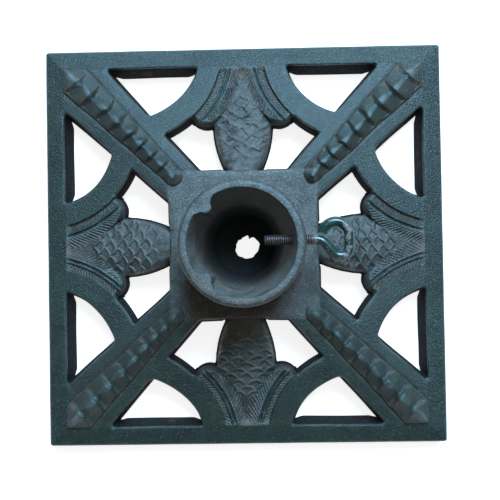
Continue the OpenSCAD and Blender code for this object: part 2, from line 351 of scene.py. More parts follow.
def rounding(depth, radius):
    """Fall of a surface towards a rounded edge."""
    turn = np.clip(radius - depth, 0, radius)
    return radius - np.sqrt(radius ** 2 - turn ** 2)


def scaled_height(x, y, crisp):
    """Height below the arches, wear and dust of the scaled body, on the cone and between the leaves."""
    rim = scale_relief(x, y)
    strength = smooth(SCALE_FIRST, SCALE_FIRST + 12, y) * (1 - smooth(SCALES_END - 3, SCALES_END, y))
    height = -CONE_SINK - x ** 2 / (2 * CONE_CROWN_R) + strength * crisp * SCALE_RISE * (rim - 0.5)
    wear = rim ** 2 * strength * crisp * 0.6 + 0.22
    dust = 0.3 + strength * (1 - rim) * 0.3 + 0.2 * smooth(HUB_HALF + 12, HUB_HALF, y)
    return height, wear, dust


def cone_relief(x, y, crisp):
    """Height, wear, dust and shade of a cone, whose flanks are rounded where no leaf covers them."""
    height, wear, dust = scaled_height(x, y, crisp)
    flank = cone_flank(x, y)
    share = 1 - 0.75 * smooth(TIP_Y - TIP_R - 1, TIP_Y - TIP_R + 3, y)
    radius = FLANK_R + (FOOT_FLANK_R - FLANK_R) * smooth(CONE_MID - 8, HUB_HALF, y)
    height = height - rounding(flank, radius) * share
    # painted shade on the cone's rounded flanks, which also takes away their wear and dust
    shade = smooth(0.45, 0.1, flank / radius) * share
    return height, wear * (1 - shade), dust * (1 - shade), shade


def leaf_relief(x, y, crisp):
    """Height, wear, dust and shade of a leaf: two veins, barbs beside them, and the cone's scales beyond."""
    s = leaf_side(x, y)
    along = np.arctan2(HALF - y, LEAF_X - x) * (LEAF_R + VEIN_AT)
    from_vein = s - VEIN_AT
    beside = np.abs(from_vein) - VEIN_GAP / 2 - VEIN_W / 2
    lip = np.maximum(leaf_body(x, y), cone_flank(x, y))
    inside = smooth(2.0, 4.0, lip)
    vein = bump(beside, VEIN_W * 0.62) * smooth(1.0, 2.6, lip)
    barb = np.abs(np.cos(np.pi * (along - np.abs(from_vein) * BARB_LEAN) / BARB_PITCH))
    band = smooth(BAND_FROM - 1.2, BAND_FROM, s)
    if crisp < SHARP:
        barb = barb + (BARB_MEAN - barb) * smooth(BAND_TO - 1, BAND_TO + 3, s)
    strip = smooth(0.6, 1.4, s) * smooth(STRIP_TO, STRIP_TO - 0.6, s)
    height = -LEAF_SINK + VEIN_H * vein + band * (BAND_RISE - BAND_FALL * smooth(BAND_FROM, BAND_TO, s))
    height = height + inside * (barb - BARB_MEAN) * (BARB_H * band + STRIP_BARB_H * strip)
    wear = vein ** 2 + inside * band * 0.55 * smooth(0.5, 1, barb)
    dust = inside * (0.65 * strip * (0.5 + 0.5 * barb) + band * (0.55 - 0.25 * barb))
    dust = dust + 0.6 * smooth(RAIL_IN - 14, RAIL_IN - 2, y) * band
    net = smooth(BAND_TO - 0.4, BAND_TO + 0.4, s) * (1 - smooth(SCALES_END - 8, SCALES_END + 2, y))
    net = net * smooth(TIP_Y - 4, TIP_Y - 1, y)
    scaled, scaled_wear, scaled_dust = scaled_height(x, y, crisp)
    height = height + (scaled - height) * net
    wear, dust = wear + (scaled_wear - wear) * net, dust + (scaled_dust - dust) * net
    height = height + CURL_BEAD_H * bump(lip - CURL_BEAD_AT, 1.6) - rounding(lip, CURL_R)
    # painted shade on the leaf's curled tip
    shade = smooth(2.0, 0.4, lip)
    wear = np.maximum(wear * smooth(1.2, 2.6, lip), 0.6 * bump(lip - 2.9, 1.2))
    height = height * smooth(0, 1.3, s) * smooth(0, 4.5, RAIL_IN - y)
    return height, wear * (1 - shade), np.clip(dust, 0, 1) * (1 - shade), shade


def roof(x, y):
    """The base's hip roof with its flat top, creases slightly softened."""
    reach = (np.abs(x) + np.abs(y) + np.sqrt((np.abs(x) - np.abs(y)) ** 2 + CREASE)) / 2
    rise = EDGE_Z + SLOPE * (HALF - reach)
    gap = np.clip(0.5 + 0.5 * (rise - HUB_Z) / HUB_CREASE, 0, 1)
    return rise * (1 - gap) + HUB_Z * gap - HUB_CREASE * gap * (1 - gap)


def casting_top(x, y, crisp):
    """Height of the casting's upper surface without its ridges, and its wear, dust and shade.

    crisp is how sharp the ornament is cast."""
    z = roof(x, y)
    wear, dust, shade = np.zeros_like(z), np.zeros_like(z), np.zeros_like(z)
    label = section_of(x, y)
    for section, relief in ((CONE, cone_relief), (LEAF, leaf_relief)):
        here = label == section
        for field, added in zip((z, wear, dust, shade), relief(x[here], y[here], crisp)):
            field[here] += added
    rim_gap = np.hypot(x, y) - SEAT_R
    dust += (label == HUB) * (0.4 + smooth(7, 0.5, rim_gap) * 0.4)
    wear += (label == HUB) * 0.55
    # painted shadow: a dark line on the hub plate around the socket's foot
    shade += (label == HUB) * smooth(1.3, 0.2, rim_gap) * 0.85
    ridge = ridge_in(x, y)
    dust += 0.5 * bump(ridge + 0.5, 1.3) * (label == SPOKE)
    z -= RIDGE_GROOVE * bump(ridge + 0.35, 0.7) * np.isin(label, (SPOKE, HUB))
    depth = np.clip(edge_depth(x, y), 0, None)
    z -= rounding(depth, EDGE_R)
    # a pale band just inside every upper edge: worn paint, and partly a painted highlight of the edges'
    # rounding
    wear += 0.7 * bump(depth - 0.9, 1.0) * (1 - shade)
    return z, np.clip(wear, 0, 1), np.clip(dust, 0, 1), shade


def casting_bottom(x, y):
    """Height of the underside: a web under the roof, channels under the spokes, and rails to the floor."""
    under = roof(x, y) - WEB
    channel = smooth(0, CHANNEL_LEAN, spoke_in(x, y) - SPOKE_WALL)
    under = under + channel * (WEB - SPOKE_SKIN)
    hub_share = smooth(HUB_HALF, HUB_HALF - HUB_STEP, np.maximum(x, y))
    under = under + (HUB_LOW[2] - under) * hub_share
    return under * smooth(0, 1.0, RAIL_IN - np.maximum(x, y))


# ---------------------------------------------------------------- plan mesh of the octant
def resample(points, step, closed=False):
    """Points spaced evenly along a path."""
    points = np.asarray(points, float)
    if closed:
        points = np.vstack([points, points[:1]])
    run = np.concatenate([[0], np.cumsum(np.hypot(*np.diff(points, axis=0).T))])
    count = max(int(round(run[-1] / step)), 1)
    at = np.linspace(0, run[-1], count + 1)
    if closed:
        at = at[:-1]
    return np.column_stack([np.interp(at, run, points[:, 0]), np.interp(at, run, points[:, 1])])


def bisect(inside, low, high):
    """Narrows the gap between low, which is inside, and high, which is not."""
    for _ in range(BISECTIONS):
        middle = (low + high) / 2
        within = inside(middle)
        low, high = np.where(within, middle, low), np.where(within, high, middle)
    return low, high


def opening_loop(field, centre):
    """Outline of an opening, found outwards from a point inside it."""
    angle = around(1800)
    cos, sin = np.cos(angle), np.sin(angle)
    reach = np.zeros_like(angle)
    moving = np.ones(angle.shape, bool)
    march = 0.25

    def inside(reach):
        return field(centre[0] + reach * cos, centre[1] + reach * sin) > 0

    while moving.any():
        reach[moving] += march
        moving &= inside(reach)
    low, _ = bisect(inside, reach - march, reach)
    return resample(np.column_stack([centre[0] + low * cos, centre[1] + low * sin]), STEP, closed=True)


def arc(centre, radius, start, end, step=STEP):
    """Points along an arc from start to end, in radians."""
    count = max(int(abs(end - start) * radius / step), 2)
    a = np.linspace(start, end, count + 1)
    return np.column_stack([centre[0] + radius * np.cos(a), centre[1] + radius * np.sin(a)])


def contour(field, start, heading, limit):
    """Follows field = 0 from near start towards heading, for limit steps or until it leaves the octant."""
    h = 1e-3
    p, path = np.array(start, float), []

    def value(q):
        return float(field(np.array([q[0]]), np.array([q[1]]))[0])

    def gradient(q):
        along_x = value(q + (h, 0)) - value(q - (h, 0))
        along_y = value(q + (0, h)) - value(q - (0, h))
        return np.array([along_x, along_y]) / (2 * h)

    way = np.array(heading, float)
    for _ in range(limit):
        for _ in range(4):
            g = gradient(p)
            p = p - g * value(p) / max(g @ g, 1e-9)
        if path and not (p[0] > -0.5 and p[1] > p[0] - 0.5 and p[1] < HALF - 2):
            break
        path.append(p)
        tangent = np.array([-gradient(p)[1], gradient(p)[0]])
        tangent /= max(np.hypot(*tangent), 1e-9)
        way = tangent if tangent @ way > 0 else -tangent
        p = p + way * STEP
    return np.array(path)


class Plan:
    """Collects points and constrained lines, then triangulates the octant."""

    def __init__(self):
        self.points, self.edges, self.faces = [], [], []

    def line(self, path, closed=False):
        first = len(self.points)
        self.points += [tuple(p) for p in path]
        self.edges += [(first + i, first + i + 1) for i in range(len(path) - 1)]
        if closed:
            self.edges.append((first + len(path) - 1, first))
            self.faces.append(list(range(first, first + len(path))))

    def straight(self, start, end):
        self.line(resample([start, end], STEP))

    def border(self, field, inset, start, heading, limit=400):
        """A line along field = inset, from near start towards heading."""
        self.line(contour(lambda x, y: field(x, y) - inset, start, heading, limit))

    def scatter(self, points):
        self.points += [tuple(p) for p in points]

    def triangles(self):
        vectors = [Vector((float(x), float(y))) for x, y in self.points]
        points, _, faces, _, _, origin = delaunay_2d_cdt(vectors, self.edges, self.faces, 0, 1e-5)
        points = np.array([tuple(p) for p in points])
        keep = [f for f, o in zip(faces, origin) if len(f) == 3 and not o]
        return points, np.array(keep)


def hexagonal(pitch):
    """A grid of equilateral triangles over the octant's square."""
    rows = np.arange(0, HALF, pitch * HEXAGON_ROW)
    found = []
    for i, y in enumerate(rows):
        x = np.arange((i % 2) * pitch / 2, HALF, pitch)
        found.append(np.column_stack([x, np.full(len(x), y)]))
    return np.vstack(found)


def draw_lines(plan):
    """Draws the octant's outlines and the borders of its sections, each with rows of points beside it."""
    top = HALF - OUTER_DRAFT
    for field, centre in OPENINGS:
        loop = opening_loop(field, centre)
        plan.line(loop, closed=True)
        ahead, behind = np.roll(loop, -1, axis=0), np.roll(loop, 1, axis=0)
        tangent = ahead - behind
        normal = np.column_stack([tangent[:, 1], -tangent[:, 0]]) / np.hypot(*tangent.T)[:, None]
        for d in RINGS:
            plan.scatter(loop + normal * d)
    for d in (0,) + RINGS:
        straight = resample([(0, top - d), (top - CORNER_R, top - d)], STEP)
        bend_r = max(CORNER_R - d, 0.05)
        bend = arc((top - d - bend_r, top - d - bend_r), bend_r, np.pi / 2, np.pi / 4)
        plan.line(np.vstack([straight, bend[1:]]))
    corner = top - CORNER_R + CORNER_R / ROOT2
    plan.straight((0, SEAT_R), (0, top))
    plan.straight((SEAT_R / ROOT2, SEAT_R / ROOT2), (corner, corner))
    plan.line(arc((0, 0), SEAT_R, np.pi / 2, np.pi / 4))
    plan.straight((0, HUB_HALF), (HUB_HALF, HUB_HALF))
    plan.straight((0, RAIL_IN), (RAIL_IN, RAIL_IN))
    outwards = (1, 1)
    plan.border(spoke_in, 0, (HUB_HALF - 14, HUB_HALF), outwards)
    ridge_side = (RIDGE_START / ROOT2, RIDGE_START / ROOT2 + 8)
    cone_side = (CONE_HALF_W, CONE_MID)
    leaf_foot = (LEAF_X - (LEAF_R ** 2 - (HALF - RAIL_IN) ** 2) ** 0.5, RAIL_IN)
    for inset in (0,) + INSETS:
        plan.border(leaf_side, inset, leaf_foot, (0.3, -1), limit=75)
        plan.border(cone_in, inset, cone_side, (-1, 1), limit=60)
        plan.border(ridge_in, inset, ridge_side, outwards)
    for inset in INSETS:
        plan.straight((0, RAIL_IN - inset), (leaf_foot[0] + 2, RAIL_IN - inset))
    plan.border(cone_in, 0, cone_side, (0, -1), limit=60)
    for wall in (SPOKE_WALL, SPOKE_WALL + CHANNEL_LEAN):
        plan.border(spoke_in, wall, (HUB_HALF - 8, HUB_HALF), outwards)


def fill_between(plan):
    """Scatters points between the lines, closer together on the ornament and the ridges."""
    for pitch, fine in ((FINE, True), (COARSE, False)):
        grid = hexagonal(pitch)
        x, y = grid.T
        margin = pitch * 0.55
        label = section_of(x, y)
        detailed = ((label == CONE) | (label == LEAF) | (ridge_in(x, y) > -1.0)) & (y < RAIL_IN)
        keep = (x > margin) & (y - x > margin * ROOT2) & (np.hypot(x, y) > SEAT_R + margin)
        keep &= edge_depth(x, y) > RINGS[-1] + margin
        borders = [field(x, y) for field in (spoke_in, ridge_in, leaf_side, cone_in)]
        for gap in (RAIL_IN - y, HUB_HALF - y, *borders):
            keep &= np.abs(gap) > margin * 0.7
        keep &= detailed if fine else ~detailed
        plan.scatter(grid[keep])


def octant_plan():
    """Vertices and triangles of the octant, with each triangle's section and whether a ridge covers it."""
    plan = Plan()
    draw_lines(plan)
    fill_between(plan)
    points, triangles = plan.triangles()
    a, b, c = (points[triangles[:, i]] for i in range(3))
    area = (b - a)[:, 0] * (c - a)[:, 1] - (b - a)[:, 1] * (c - a)[:, 0]
    triangles[area < 0] = triangles[area < 0][:, ::-1]
    middle = (a + b + c) / 3
    inside = (middle[:, 0] > 0) & (middle[:, 1] > middle[:, 0]) & (np.hypot(*middle.T) > SEAT_R)
    inside &= np.abs(area) > 1e-9
    triangles, middle = triangles[inside], middle[inside]
    used, triangles = np.unique(triangles, return_inverse=True)
    triangles = triangles.reshape(-1, 3)
    return points[used], triangles, section_of(*middle.T), ridge_in(*middle.T) > 0


def pulled_in(points, depth):
    """Bottom places of boundary points: openings narrow downwards, and the outer faces lean out."""
    x, y = points.T
    result = points.copy()
    for field, centre in OPENINGS:
        on_edge = ON_BOUNDARY & (np.abs(field(x, y)) < 0.3)
        centre = np.array(centre, float)
        start = points[on_edge]
        wanted = INNER_DRAFT * depth[on_edge]

        def shallow(share):
            return field(*(start + (centre - start) * share[:, None]).T) <= wanted

        _, share = bisect(shallow, np.zeros(len(start)), np.full(len(start), 0.9))
        result[on_edge] = start + (centre - start) * share[:, None]
    top = HALF - OUTER_DRAFT
    outer = np.maximum(x, y) > top - CORNER_R / 3
    outer &= ON_BOUNDARY & (edge_depth(x, y) < 0.05)
    grown = result[outer]
    result[outer] = grown + OUTER_DRAFT * np.clip((grown - top + CORNER_R) / CORNER_R, 0, 1)
    return result


def boundary_edges(triangles):
    """Directed edges of a set of triangles that no other triangle of the set shares."""
    edges = np.vstack([triangles[:, [0, 1]], triangles[:, [1, 2]], triangles[:, [2, 0]]])
    size = int(triangles.max()) + 1
    forward = edges[:, 0].astype(np.int64) * size + edges[:, 1]
    backward = edges[:, 1].astype(np.int64) * size + edges[:, 0]
    return edges[~np.isin(forward, backward)]


PLAN_POINTS, PLAN_TRIANGLES, SECTION, RIDGED = octant_plan()
ON_BOUNDARY = np.zeros(len(PLAN_POINTS), bool)
ON_BOUNDARY[boundary_edges(PLAN_TRIANGLES).ravel()] = True


WORN_SIDE = 0                     # the side whose ornament is the most worn and uneven
WANDER, WORN_WANDER = 0.5, 1.1    # how far the ornament's pattern strays
LUMP_H, WORN_LUMP_H = 0.1, 0.42   # unevenness of the cones
SWELL_H, RIPPLE_H = 0.16, 0.05    # and of the whole surface
WARP = 0.35                       # the casting's bend in plan
ROOF_SHARE = 0.4                  # how much the roof, and not the ornament, sets the openings' draft


class Octant:
    """One of the eight copies of the octant, with its own small casting flaws."""

    def __init__(self, side, mirrored):
        self.side, self.mirrored = side, mirrored
        x, y = PLAN_POINTS.T  # in the octant; gx and gy are on the base, lx and ly strayed in the octant
        gx, gy = self.turned(x, y)
        border = np.minimum(np.abs(leaf_side(x, y)), np.minimum(np.abs(RAIL_IN - y), np.abs(y - HUB_HALF)))
        worn_side = side == WORN_SIDE
        crisp = CRISPNESS[side]
        label = section_of(x, y)
        wander = WORN_WANDER if worn_side else WANDER
        wander = wander * smooth(0, 6, edge_depth(x, y)) * smooth(0.3, 3, border)
        wander = wander * np.where(label == LEAF, smooth(BAND_FROM, BAND_TO, leaf_side(x, y)), 1)
        lx, ly = self.turned_back(gx + WANDER_X(gx, gy) * wander, gy + WANDER_Y(gx, gy) * wander)
        steady = casting_top(np.abs(x), y, crisp)
        strayed = casting_top(np.abs(lx), ly, crisp)
        same = (label == section_of(np.abs(lx), ly)) & np.isin(label, (CONE, LEAF))
        z, self.wear, self.dust, self.shade = (np.where(same, b, a) for a, b in zip(steady, strayed))
        ridge_z, self.ridge_wear, self.ridge_dust = ridge_height(lx, ly)
        ridge = ridge_in(x, y)
        self.ridge_flank = smooth(0.05, 0.5, 1 - ridge / ridge_half_width((x + y) / ROOT2))
        lumpy = (WORN_LUMP_H if worn_side else LUMP_H) * (label == CONE) * smooth(0, 5, cone_in(x, y))
        flaws = SWELL_H * SWELL(gx, gy) + RIPPLE_H * RIPPLE(gx, gy) + lumpy * LUMPS(gx, gy)
        self.top = z + flaws
        before_cone = np.where(np.abs(x) < CONE_HALF_W, HUB_HALF - y, np.inf)
        inset = np.clip(np.minimum(edge_depth(x, y), before_cone), 0, None)
        self.hub_top = roof(x, y) - rounding(inset, EDGE_R) + flaws
        self.ridge = self.top + np.where(ridge > 0, np.maximum(ridge_z, 0), 0)
        self.bottom = casting_bottom(x, y)
        self.low = pulled_in(PLAN_POINTS, z + ROOF_SHARE * (roof(x, y) - z) - self.bottom)

    def turned(self, x, y):
        """Places of the octant's points on its own side of the base."""
        if self.mirrored:
            x = -x
        for _ in range(self.side):
            x, y = y, -x
        return x, y

    def turned_back(self, x, y):
        for _ in range(self.side):
            x, y = -y, x
        return (-x if self.mirrored else x), y

    def placed(self, x, y):
        """Plan places after the casting's slight warp, which dies away at the outer faces."""
        x, y = self.turned(x, y)
        calm = smooth(HALF, HALF - 25, np.maximum(np.abs(x), np.abs(y)))
        calm = calm * smooth(SEAT_R, SEAT_R + 12, np.hypot(x, y))
        return x + WARP * SWAY_X(x, y) * calm, y + WARP * SWAY_Y(x, y) * calm


OCTANTS = {(side, mirrored): Octant(side, mirrored) for side in range(4) for mirrored in (False, True)}


# ---------------------------------------------------------------- meshes
def add_object(name, data):
    made = bpy.data.objects.new(name, data)
    bpy.context.scene.collection.objects.link(made)
    return made


def finish_piece(name, mesh, body, nodes, materials, crease_deg=38):
    """Makes the object of a mesh given in metres, and ties it to the frame."""
    mesh.polygons.foreach_set("use_smooth", np.ones(len(mesh.polygons), bool))
    mesh.set_sharp_from_angle(angle=np.radians(crease_deg))
    for material in materials:
        mesh.materials.append(material)
    piece = add_object(name, mesh)
    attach(piece, body)
    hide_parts(*nodes)
    return piece


def welded_mesh(name, points, faces, values, marks=None):
    """A mesh in metres from points in millimetres, with equal points joined.

    values are its point attributes, and marks its faces' material numbers."""
    points = np.vstack(points)
    _, first, back = np.unique(np.round(points, 3), axis=0, return_index=True, return_inverse=True)
    back = back.ravel()
    mesh = bpy.data.meshes.new(name)
    faces = [tuple(dict.fromkeys(int(back[i]) for i in face)) for face in faces]
    kept = [i for i, face in enumerate(faces) if len(face) > 2]
    mesh.from_pydata((points[first] * MM).tolist(), [], [faces[i] for i in kept])
    if marks is not None:
        mesh.polygons.foreach_set("material_index", [marks[i] for i in kept])
    for key, data in values.items():
        attribute = mesh.attributes.new(key, "FLOAT", "POINT")
        attribute.data.foreach_set("value", np.concatenate(data)[first].astype(np.float32))
    return mesh


def band(i, j, count):
    """Quads between rings i and j of a mesh whose rings of count points follow one another."""
    a = np.arange(count)
    b = (a + 1) % count
    return np.column_stack([i * count + a, i * count + b, j * count + b, j * count + a])


WALL_ROWS = (0.0, 0.12, 0.5, 1.0)  # rows of points down a wall, as shares of its height
RIDGE_SINK = 0.4                   # how far a ridge's underside lies in the spoke
FLANK_SHADE = 0.15


def section_mesh(name, octants, chosen, closed_x, closed_diagonal, as_ridge=False, as_hub=False):
    """The closed mesh of one section, joined from its copies in the given octants.

    closed_x and closed_diagonal say whether the section ends at the octant's two straight sides."""
    triangles = PLAN_TRIANGLES[chosen]
    edges = boundary_edges(triangles)
    ends = PLAN_POINTS[edges]
    at_x = (np.abs(ends[:, :, 0]) < 1e-4).all(axis=1)
    at_diagonal = (np.abs(ends[:, :, 0] - ends[:, :, 1]) < 1e-4).all(axis=1)
    edges = edges[~(at_x & (not closed_x)) & ~(at_diagonal & (not closed_diagonal))]
    used = np.unique(triangles)
    index = np.full(len(PLAN_POINTS), -1)
    index[used] = np.arange(len(used))
    rows = (0.0, 1.0) if as_ridge else WALL_ROWS
    points, faces, marks, base = [], [], [], 0
    values = {"wear": [], "dust": [], "shade": []}
    for key in octants:
        octant = OCTANTS[key]
        high = (octant.ridge if as_ridge else octant.hub_top if as_hub else octant.top)[used]
        low = octant.top[used] - RIDGE_SINK if as_ridge else octant.bottom[used]
        plan_high = PLAN_POINTS[used]
        plan_low = plan_high if as_ridge else octant.low[used]
        wear = np.maximum(octant.wear[used], octant.ridge_wear[used]) if as_ridge else octant.wear[used]
        for share in rows:
            plan_here = plan_high + (plan_low - plan_high) * share
            x, y = octant.placed(*plan_here.T)
            points.append(np.column_stack([x, y, high + (low - high) * share]))
            values["wear"].append(wear * (share == 0))
            dust = octant.ridge_dust[used] if as_ridge else octant.dust[used]
            values["dust"].append(np.clip(dust, 0, 1) * (1 - share))
            # painted shade: the ridges' flanks are darkened a little, and the rows down the walls are marked
            # fully shaded
            shade = FLANK_SHADE * octant.ridge_flank[used] if as_ridge else octant.shade[used]
            values["shade"].append(np.maximum(shade, min(3 * share, 1)))
        corners, flips = index[triangles], octant.mirrored
        count = len(used)
        last = (len(rows) - 1) * count
        top_faces = corners[:, ::-1] if flips else corners
        faces += (top_faces + base).tolist()
        faces += (top_faces[:, ::-1] + base + last).tolist()
        marks += [0] * len(corners) + [1] * len(corners)
        a, b = index[edges[:, 0]] + base, index[edges[:, 1]] + base
        for row in range(len(rows) - 1):
            upper, lower = row * count, (row + 1) * count
            quads = np.column_stack([a + upper, a + lower, b + lower, b + upper])
            faces += (quads[:, ::-1] if flips else quads).tolist()
            marks += [1] * len(quads)
        base += len(rows) * count
    mesh = welded_mesh(name, points, faces, values, marks)
    loose = bmesh.new()
    loose.from_mesh(mesh)
    bmesh.ops.delete(loose, geom=[v for v in loose.verts if not v.link_faces], context="VERTS")
    loose.to_mesh(mesh)
    loose.free()
    return mesh


# ---------------------------------------------------------------- materials
class Shader:
    """A principled material whose node tree is built with short calls."""

    def __init__(self, name):
        self.material = bpy.data.materials.new(name)
        self.material.use_nodes = True
        self.tree = self.material.node_tree
        self.surface = self.tree.nodes["Principled BSDF"]
        position = self.tree.nodes.new("ShaderNodeTexCoord").outputs["Object"]
        self.place = self.node("VectorMath", 0, {0: position, "Scale": 1 / MM}, operation="SCALE")

    def link(self, value, socket):
        if isinstance(value, (int, float)):
            socket.default_value = value
        elif isinstance(value, tuple):
            socket.default_value = (*value, 1) if len(socket.default_value) == 4 else value
        else:
            self.tree.links.new(value, socket)

    def node(self, kind, output, inputs, **settings):
        """Adds a node with its settings and inputs, and returns one of its outputs."""
        made = self.tree.nodes.new("ShaderNode" + kind)
        for key, value in settings.items():
            setattr(made, key, value)
        for socket, value in inputs.items():
            self.link(value, made.inputs[socket])
        return made.outputs[output]

    def noise(self, size_mm, detail=3.0, roughness=0.55, distortion=0.0):
        inputs = {"Vector": self.place, "Scale": 1 / size_mm, "Detail": detail}
        inputs.update({"Roughness": roughness, "Distortion": distortion})
        return self.node("TexNoise", "Fac", inputs)

    def cells(self, size_mm):
        return self.node("TexVoronoi", "Distance", {"Vector": self.place, "Scale": 1 / size_mm})

    def attribute(self, name):
        return self.node("Attribute", "Fac", {}, attribute_name=name)

    def math(self, operation, a, b=0.0, clamp=False):
        return self.node("Math", 0, {0: a, 1: b}, operation=operation, use_clamp=clamp)

    def times(self, a, b, clamp=False):
        return self.math("MULTIPLY", a, b, clamp)

    def ramp(self, value, low, high, out_low=0.0, out_high=1.0):
        """A smooth change from out_low to out_high as value goes from low to high."""
        inputs = {"Value": value, "From Min": low, "From Max": high, "To Min": out_low, "To Max": out_high}
        return self.node("MapRange", "Result", inputs, interpolation_type="SMOOTHSTEP")

    def mix(self, share, a, b):
        return self.node("Mix", "Result", {"Factor": share, "A": a, "B": b}, data_type="RGBA")

    def relief(self, height, depth_mm, strength=1.0, below=None):
        inputs = {"Strength": strength, "Distance": depth_mm * MM, "Height": height}
        if below is not None:
            inputs["Normal"] = below
        return self.node("Bump", "Normal", inputs)


PAINT_DARK = (0.005, 0.017, 0.012)
PAINT_LIGHT = (0.014, 0.037, 0.023)
PAINT_WORN = (0.14, 0.18, 0.175)
DUST = (0.215, 0.122, 0.086)
RUST = (0.14, 0.060, 0.04)
# near black, for the paint's pits and for painted shade
PIT_AND_SHADE_BLACK = (0.009, 0.009, 0.008)
PAINT_GRAIN = (0.044, 0.070, 0.053)
SPECK = (0.40, 0.45, 0.46)
GRIT = (0.36, 0.29, 0.25)
# near black painted shade for the walls and the underside, and their rust
WALL_SHADE_DARK, WALL_SHADE_LIGHT, IRON_RUST = (0.006, 0.008, 0.009), (0.022, 0.026, 0.026), (0.075, 0.038, 0.025)
ROD_DARK, ROD_LIGHT = (0.012, 0.040, 0.030), (0.030, 0.075, 0.060)
PRIMER_DARK, PRIMER_LIGHT = (0.19, 0.12, 0.11), (0.36, 0.27, 0.255)
CUT_DARK, CUT_LIGHT = (0.045, 0.022, 0.012), (0.16, 0.11, 0.085)
STEEL_DARK, STEEL_LIGHT = (0.20, 0.165, 0.16), (0.30, 0.225, 0.20)
STEEL_ROOT, STEEL_RUST = (0.035, 0.024, 0.021), (0.12, 0.07, 0.05)


def painted_iron(name, dusty=0.6, worn=0.6, rusty=0.15, shade_darkness=0.9, gritty=0.2, shine=0.9):
    """Old dark green paint over rough cast iron, with dust in its hollows, pale wear on its crests and
    painted shade.

    The mesh attributes wear (on edges partly a painted highlight), dust and shade say where; the arguments
    say how strongly each one shows."""
    s = Shader(name)
    blotch, patch, grain, pits = s.noise(24, 3), s.noise(7, 4), s.noise(1.1, 3, 0.7), s.noise(0.6, 2)
    color = s.mix(s.ramp(blotch, 0.32, 0.7), PAINT_DARK, PAINT_LIGHT)
    color = s.mix(s.ramp(grain, 0.45, 0.72, 0.0, 0.6), color, PAINT_GRAIN)
    color = s.mix(s.ramp(pits, 0.5, 0.3, 0.0, 0.5), color, PIT_AND_SHADE_BLACK)
    dust = s.times(s.attribute("dust"), s.ramp(patch, 0.25, 0.65, 0.35, 1.0))
    dust = s.times(dust, s.ramp(grain, 0.3, 0.6, 0.35, 1.0))
    color = s.mix(s.times(dust, dusty, clamp=True), color, DUST)
    wear = s.times(s.attribute("wear"), s.ramp(patch, 0.35, 0.7, 0.25, 1.0))
    color = s.mix(s.times(wear, worn, clamp=True), color, PAINT_WORN)
    rust = s.times(s.ramp(s.noise(13, 4, 0.65, 0.6), 0.6, 0.74), s.ramp(grain, 0.35, 0.6))
    color = s.mix(s.times(rust, rusty), color, RUST)
    speck = s.times(s.ramp(s.cells(2.6), 0.13, 0.05), s.ramp(s.noise(9, 2), 0.45, 0.6))
    color = s.mix(s.times(speck, 0.85), color, SPECK)
    grit = s.times(s.ramp(s.noise(1.2, 2, 0.8), 0.55, 0.62), s.ramp(patch, 0.3, 0.6, 0.4, 1.0))
    color = s.mix(s.times(grit, gritty), color, GRIT)
    # painted shade: the colour goes towards near black, and gets rougher, where the shade attribute is high
    shade_mask = s.attribute("shade")
    color = s.mix(s.times(shade_mask, shade_darkness), color, PIT_AND_SHADE_BLACK)
    s.link(color, s.surface.inputs["Base Color"])
    rough = s.math("ADD", s.ramp(patch, 0.3, 0.7, 0.29, 0.42), s.times(dust, 0.3), clamp=True)
    s.link(s.math("MAXIMUM", rough, s.times(shade_mask, 0.85)), s.surface.inputs["Roughness"])
    s.surface.inputs["Specular IOR Level"].default_value = shine
    normal = s.relief(patch, 0.7, 0.5)
    normal = s.relief(grain, 0.7, 0.9, normal)
    s.link(s.relief(pits, 0.25, 0.8, normal), s.surface.inputs["Normal"])
    return s.material


def wall_painted_shade():
    """Painted shade on the openings' walls and the underside: dull, nearly black cast iron, with a little
    rust.
    """
    s = Shader("wall_painted_shade")
    grain = s.noise(1.2, 3, 0.7)
    color = s.mix(s.ramp(grain, 0.35, 0.7), WALL_SHADE_DARK, WALL_SHADE_LIGHT)
    rust = s.times(s.ramp(s.noise(14, 4, 0.6), 0.58, 0.7), s.ramp(grain, 0.3, 0.6, 0.2, 0.8))
    s.link(s.mix(rust, color, IRON_RUST), s.surface.inputs["Base Color"])
    s.surface.inputs["Roughness"].default_value = 0.9
    s.surface.inputs["Specular IOR Level"].default_value = 0.08
    s.link(s.relief(grain, 0.5, 0.8), s.surface.inputs["Normal"])
    return s.material


def painted_rod():
    """Glossy green paint on the eye, rubbed to pinkish primer along its crest, rusty at its cut end."""
    s = Shader("painted_rod")
    patch, grain = s.noise(3.2, 4, 0.6, 0.5), s.noise(0.7, 3)
    color = s.mix(s.ramp(s.noise(6, 3), 0.35, 0.7), ROD_DARK, ROD_LIGHT)
    rubbed = s.math("ADD", s.attribute("wear"), s.ramp(patch, 0.3, 0.75, -0.42, 0.42), clamp=True)
    rubbed = s.ramp(s.math("ADD", rubbed, s.ramp(grain, 0.35, 0.65, -0.12, 0.12)), 0.5, 0.66)
    color = s.mix(rubbed, color, s.mix(s.ramp(grain, 0.4, 0.62), PRIMER_DARK, PRIMER_LIGHT))
    end = s.attribute("dust")
    color = s.mix(end, color, s.mix(s.ramp(patch, 0.4, 0.6), CUT_DARK, CUT_LIGHT))
    s.link(color, s.surface.inputs["Base Color"])
    rough = s.math("ADD", s.times(rubbed, 0.3), s.ramp(patch, 0.3, 0.7, 0.14, 0.24))
    s.link(s.math("ADD", rough, s.times(end, 0.35), clamp=True), s.surface.inputs["Roughness"])
    s.surface.inputs["Coat Weight"].default_value = 0.35
    s.surface.inputs["Coat Roughness"].default_value = 0.12
    normal = s.relief(patch, 0.25, 0.35)
    s.link(s.relief(rubbed, -0.08, 0.6, normal), s.surface.inputs["Normal"])
    return s.material


